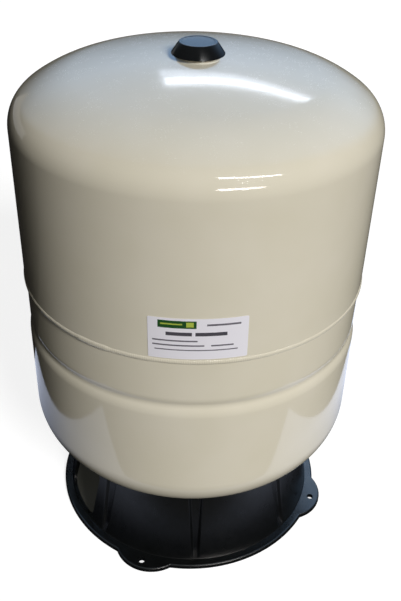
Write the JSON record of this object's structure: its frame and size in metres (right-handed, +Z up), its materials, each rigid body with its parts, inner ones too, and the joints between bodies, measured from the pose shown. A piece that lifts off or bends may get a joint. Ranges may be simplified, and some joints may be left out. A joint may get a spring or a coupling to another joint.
{
  "type": "water storage tank",
  "caption": "Upright domed steel tank that stores purified water, on a flared black stand with bolt lugs, with a screw cap over its air valve and a water port underneath.",
  "frame": {"origin": "on the floor under the middle of the stand, on the tank's axis", "axes": "+Z up along the tank's axis, -Y out of the middle of the label, +X to the right of someone who faces the label"},
  "size_m": [0.3576, 0.3576, 0.5477],
  "materials": {
    "enamel": "gloss",
    "stand_plastic": "satin",
    "cap_plastic": "satin",
    "label_film": "satin",
    "polypropylene": "satin",
    "butyl": "matte",
    "plated_steel": "zinc plated",
    "stainless": "turned",
    "spring_steel": "drawn",
    "turned_brass": "turned"
  },
  "bodies": {
    "tank": {"upper_shell": "enamel", "lower_shell": "enamel", "seam_weld": "enamel", "water_liner": "polypropylene", "diaphragm": "butyl", "clench_ring": "plated_steel", "air_boss": "enamel", "boss_weld": "enamel", "stem_seal": "butyl", "valve_stem": "turned_brass", "core_body": "turned_brass", "core_collar_seal": "butyl", "core_spring": "spring_steel", "water_port": "stainless", "port_seal": "butyl", "port_washer": "stainless", "port_nut": "stainless", "stand": "stand_plastic", "stand_studs": "plated_steel", "stand_clips": "plated_steel", "stand_nuts": "plated_steel", "label": "label_film"},
    "cap_seal": {"cap_seal": "butyl"},
    "cap": {"air_cap": "cap_plastic"},
    "valve_pin": {"core_pin": "turned_brass", "core_seat_seal": "butyl"}
  },
  "joints": [
    {"name": "cap_lift", "type": "slide", "parent": "tank", "child": "cap_seal", "axis": [0, 0, 1], "range_m": [0, 0.006]},
    {"name": "cap_turn", "type": "hinge", "parent": "cap_seal", "child": "cap", "pos_m": [0, 0, 0.53677], "axis": [0, 0, 1], "range_deg": [0, 1080]},
    {"name": "pin_press", "type": "slide", "parent": "tank", "child": "valve_pin", "axis": [0, 0, -1], "range_m": [0, 0.0012], "stiffness_N_per_m": 1500, "deforming": ["core_spring"]}
  ],
  "couplings": [
    {"joint": "cap_lift", "follows": "cap_turn", "m_per_rad": 0.000318}
  ]
}
